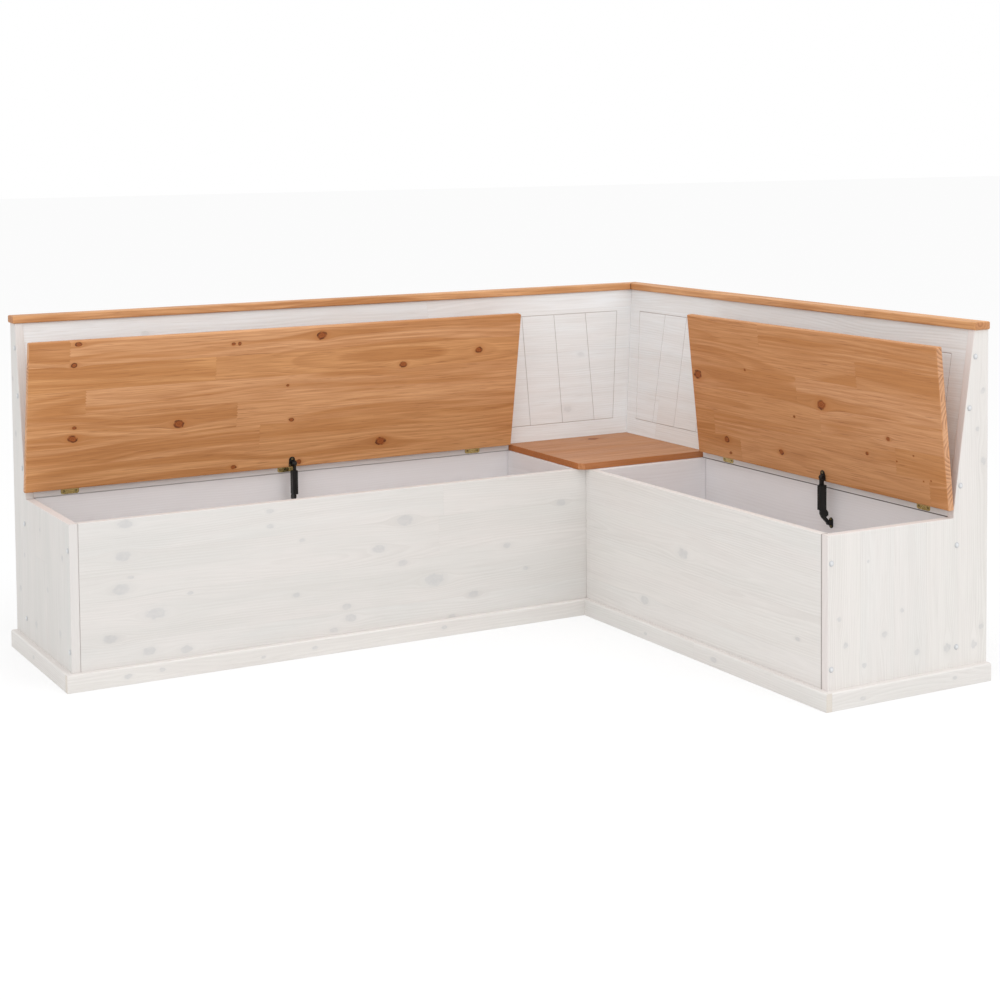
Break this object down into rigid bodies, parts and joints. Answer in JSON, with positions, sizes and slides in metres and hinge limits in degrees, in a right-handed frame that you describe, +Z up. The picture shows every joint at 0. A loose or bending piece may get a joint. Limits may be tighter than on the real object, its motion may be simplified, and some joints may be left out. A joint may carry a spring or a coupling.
{
  "type": "corner storage bench",
  "caption": "L-shaped wooden corner bench with a reclined back, hinged chest seats on lid stays, and a fixed corner seat.",
  "frame": {"origin": "on the floor, under the middle of the bounding box", "axes": "+X along the long leg towards the corner, +Y towards the wall behind the long leg, +Z up; the short leg runs from the corner towards -Y and faces -X"},
  "size_m": [1.946, 1.541, 0.865],
  "materials": {
    "white_stain": "thin white stain on knotty pine, satin",
    "honey_stain": "honey stain and oil on knotty pine, satin",
    "inner_stain": "pale stain, matt, inside the chests",
    "brass": "satin brass plate",
    "black_plastic": "black, satin",
    "cap_plastic": "pale grey, satin"
  },
  "bodies": {
    "bench_body": {"left_end_panel": "white_stain", "right_end_panel": "white_stain", "long_front_panel": "white_stain", "short_front_panel": "white_stain", "long_box_back": "inner_stain", "short_box_back": "inner_stain", "long_box_floor": "inner_stain", "short_box_floor": "inner_stain", "long_corner_divider": "inner_stain", "short_corner_divider": "inner_stain", "long_backrest": "white_stain", "short_backrest": "white_stain", "long_top_rail": "honey_stain", "short_top_rail": "honey_stain", "long_hinge_rail": "white_stain", "short_hinge_rail": "white_stain", "corner_seat": "honey_stain", "long_front_plinth": "white_stain", "short_front_plinth": "white_stain", "left_end_plinth": "white_stain", "right_end_plinth": "white_stain", "long_hinge_1_rail_leaf": "brass", "long_hinge_2_rail_leaf": "brass", "long_hinge_3_rail_leaf": "brass", "short_hinge_1_rail_leaf": "brass", "short_hinge_2_rail_leaf": "brass", "long_hinge_1_pin": "brass", "long_hinge_2_pin": "brass", "long_hinge_3_pin": "brass", "short_hinge_1_pin": "brass", "short_hinge_2_pin": "brass", "long_stay_wall_bracket": "black_plastic", "short_stay_wall_bracket": "black_plastic", "right_cover_cap_1": "cap_plastic", "right_cover_cap_2": "cap_plastic", "right_cover_cap_3": "cap_plastic", "right_cover_cap_4": "cap_plastic", "right_cover_cap_5": "cap_plastic", "right_cover_cap_6": "cap_plastic", "right_cover_cap_7": "cap_plastic", "left_cover_cap_1": "cap_plastic", "left_cover_cap_2": "cap_plastic", "left_cover_cap_3": "cap_plastic", "left_cover_cap_4": "cap_plastic", "left_cover_cap_5": "cap_plastic", "left_cover_cap_6": "cap_plastic", "left_cover_cap_7": "cap_plastic"},
    "long_lid_body": {"long_lid": "honey_stain", "long_hinge_1_lid_leaf": "brass", "long_hinge_2_lid_leaf": "brass", "long_hinge_3_lid_leaf": "brass", "long_stay_lid_bracket": "black_plastic"},
    "short_lid_body": {"short_lid": "honey_stain", "short_hinge_1_lid_leaf": "brass", "short_hinge_2_lid_leaf": "brass", "short_stay_lid_bracket": "black_plastic"},
    "long_stay_channel_body": {"long_stay_channel": "black_plastic"},
    "long_stay_rod_body": {"long_stay_rod": "black_plastic"},
    "short_stay_channel_body": {"short_stay_channel": "black_plastic"},
    "short_stay_rod_body": {"short_stay_rod": "black_plastic"}
  },
  "joints": [
    {"name": "long_lid_hinge", "type": "hinge", "parent": "bench_body", "child": "long_lid_body", "pos_m": [-0.2465, 0.66275, 0.4232], "axis": [1, 0, 0], "range_deg": [0, 80]},
    {"name": "short_lid_hinge", "type": "hinge", "parent": "bench_body", "child": "short_lid_body", "pos_m": [0.86525, -0.2465, 0.4232], "axis": [0, -1, 0], "range_deg": [0, 84]},
    {"name": "long_stay_lid_pivot", "type": "hinge", "parent": "long_lid_body", "child": "long_stay_channel_body", "pos_m": [-0.229, 0.63137, 0.43188], "axis": [1, 0, 0], "range_deg": [-93, 0]},
    {"name": "long_stay_wall_pivot", "type": "hinge", "parent": "bench_body", "child": "long_stay_rod_body", "pos_m": [-0.229, 0.656, 0.313], "axis": [1, 0, 0], "range_deg": [-13, 0]},
    {"name": "short_stay_lid_pivot", "type": "hinge", "parent": "short_lid_body", "child": "short_stay_channel_body", "pos_m": [0.83455, -0.3025, 0.43405], "axis": [0, -1, 0], "range_deg": [-97, 0]},
    {"name": "short_stay_wall_pivot", "type": "hinge", "parent": "bench_body", "child": "short_stay_rod_body", "pos_m": [0.8585, -0.3025, 0.313], "axis": [0, -1, 0], "range_deg": [-13, 0]}
  ],
  "couplings": [
    {"joint": "long_stay_lid_pivot", "follows": "long_lid_hinge", "ratio": -1.1569},
    {"joint": "long_stay_wall_pivot", "follows": "long_lid_hinge", "ratio": -0.15688},
    {"joint": "short_stay_lid_pivot", "follows": "short_lid_hinge", "ratio": -1.1434},
    {"joint": "short_stay_wall_pivot", "follows": "short_lid_hinge", "ratio": -0.1434}
  ]
}
